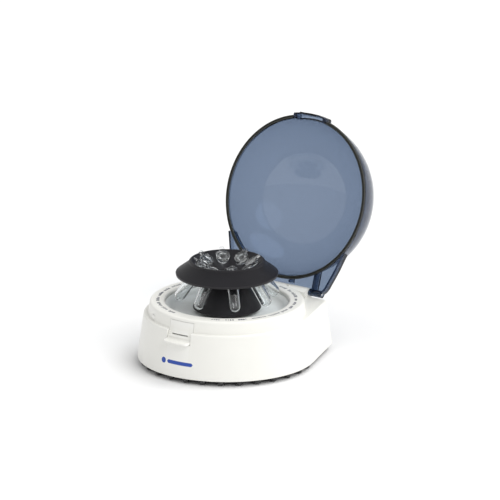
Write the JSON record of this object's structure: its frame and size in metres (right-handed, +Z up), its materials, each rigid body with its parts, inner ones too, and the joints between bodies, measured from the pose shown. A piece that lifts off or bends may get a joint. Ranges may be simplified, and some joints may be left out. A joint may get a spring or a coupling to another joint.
{
  "type": "laboratory centrifuge",
  "caption": "Small bench centrifuge with a round-fronted white housing, a hinged smoky dome lid, and a push-on fixed-angle rotor for capped 2 mL tubes.",
  "frame": {"origin": "middle of the underside of the object's box, with the lid open", "axes": "+Z up, +Y from the latch to the hinge, +X to the right seen from the latch; the rotor's axis is 47.6 mm in front of the origin"},
  "size_m": [0.1664, 0.2656, 0.2083],
  "materials": {
    "white_plastic": "moulded white ABS, satin gloss",
    "pale_plastic": "pale grey-green moulded bowl, satin",
    "black_plastic": "black moulded plastic, fine texture",
    "rotor_black": "black moulded rotor, matt",
    "rubber": "black rubber",
    "steel": "plated steel",
    "motor_steel": "plated motor can",
    "aluminium": "extruded heat sink",
    "brass": "turned brass",
    "smoke_plastic": "clear moulded plastic with a smoky blue tint, polished",
    "circuit_board": "green solder mask",
    "lead_red": "red insulated wire",
    "lead_black": "black insulated wire",
    "clear_plastic": "clear polypropylene tubes"
  },
  "bodies": {
    "base": {"housing_shell": "white_plastic", "rotor_chamber": "pale_plastic", "base_pan": "black_plastic", "lid_switch_body": "black_plastic", "motor_end_cap": "black_plastic", "dc_inlet": "black_plastic", "power_switch_frame": "black_plastic", "board_capacitor": "black_plastic", "foot_front_left": "rubber", "foot_front_right": "rubber", "foot_rear_left": "rubber", "foot_rear_right": "rubber", "motor_damper_1": "rubber", "motor_damper_2": "rubber", "motor_damper_3": "rubber", "case_screw_1": "steel", "case_screw_2": "steel", "case_screw_3": "steel", "case_screw_4": "steel", "motor_screw_1": "steel", "motor_screw_2": "steel", "motor_screw_3": "steel", "motor_plate": "steel", "hinge_pin_left": "steel", "hinge_pin_right": "steel", "motor_can": "motor_steel", "regulator_heat_sink": "aluminium", "control_board": "circuit_board", "motor_lead_red": "lead_red", "motor_lead_black": "lead_black"},
    "lid": {"lid_dome": "smoke_plastic", "lid_rim_seal": "rubber"},
    "latch": {"latch_tongue": "white_plastic"},
    "switch_lever": {"lid_switch_lever": "white_plastic"},
    "rocker": {"power_switch_rocker": "black_plastic"},
    "drive": {"spindle": "steel", "drive_collar": "brass"},
    "rotor": {"rotor": "rotor_black"},
    "tube_1_body": {"tube_1": "clear_plastic"},
    "tube_2_body": {"tube_2": "clear_plastic"},
    "tube_3_body": {"tube_3": "clear_plastic"},
    "tube_4_body": {"tube_4": "clear_plastic"},
    "tube_5_body": {"tube_5": "clear_plastic"},
    "tube_6_body": {"tube_6": "clear_plastic"},
    "tube_7_body": {"tube_7": "clear_plastic"},
    "tube_8_body": {"tube_8": "clear_plastic"}
  },
  "joints": [
    {"name": "lid_hinge", "type": "hinge", "parent": "base", "child": "lid", "pos_m": [0, 0.03702, 0.051], "axis": [-1, 0, 0], "range_deg": [-109, 0]},
    {"name": "latch_press", "type": "hinge", "parent": "base", "child": "latch", "pos_m": [0, -0.11898, 0.0561], "axis": [1, 0, 0], "range_deg": [0, 4], "stiffness_Nm_per_rad": 0.4},
    {"name": "lid_switch_press", "type": "slide", "parent": "base", "child": "switch_lever", "axis": [0.5505, 0.8348, 0], "range_m": [0, 0.001], "stiffness_N_per_m": 300},
    {"name": "power_rocker", "type": "hinge", "parent": "base", "child": "rocker", "pos_m": [-0.022, 0.03662, 0.024], "axis": [0, 0, 1], "range_deg": [-16, 0]},
    {"name": "rotor_spin", "type": "hinge", "parent": "base", "child": "drive", "pos_m": [0, -0.04758, 0.06], "axis": [0, 0, 1], "continuous": true},
    {"name": "rotor_lift", "type": "slide", "parent": "drive", "child": "rotor", "axis": [0, 0, 1], "range_m": [0, 0.025]},
    {"name": "tube_1_lift", "type": "slide", "parent": "rotor", "child": "tube_1_body", "axis": [0, 0.5878, 0.809], "range_m": [0, 0.01]},
    {"name": "tube_2_lift", "type": "slide", "parent": "rotor", "child": "tube_2_body", "axis": [-0.4156, 0.4156, 0.809], "range_m": [0, 0.01]},
    {"name": "tube_3_lift", "type": "slide", "parent": "rotor", "child": "tube_3_body", "axis": [-0.5878, 0, 0.809], "range_m": [0, 0.01]},
    {"name": "tube_4_lift", "type": "slide", "parent": "rotor", "child": "tube_4_body", "axis": [-0.4156, -0.4156, 0.809], "range_m": [0, 0.01]},
    {"name": "tube_5_lift", "type": "slide", "parent": "rotor", "child": "tube_5_body", "axis": [0, -0.5878, 0.809], "range_m": [0, 0.01]},
    {"name": "tube_6_lift", "type": "slide", "parent": "rotor", "child": "tube_6_body", "axis": [0.4156, -0.4156, 0.809], "range_m": [0, 0.01]},
    {"name": "tube_7_lift", "type": "slide", "parent": "rotor", "child": "tube_7_body", "axis": [0.5878, 0, 0.809], "range_m": [0, 0.01]},
    {"name": "tube_8_lift", "type": "slide", "parent": "rotor", "child": "tube_8_body", "axis": [0.4156, 0.4156, 0.809], "range_m": [0, 0.01]}
  ]
}
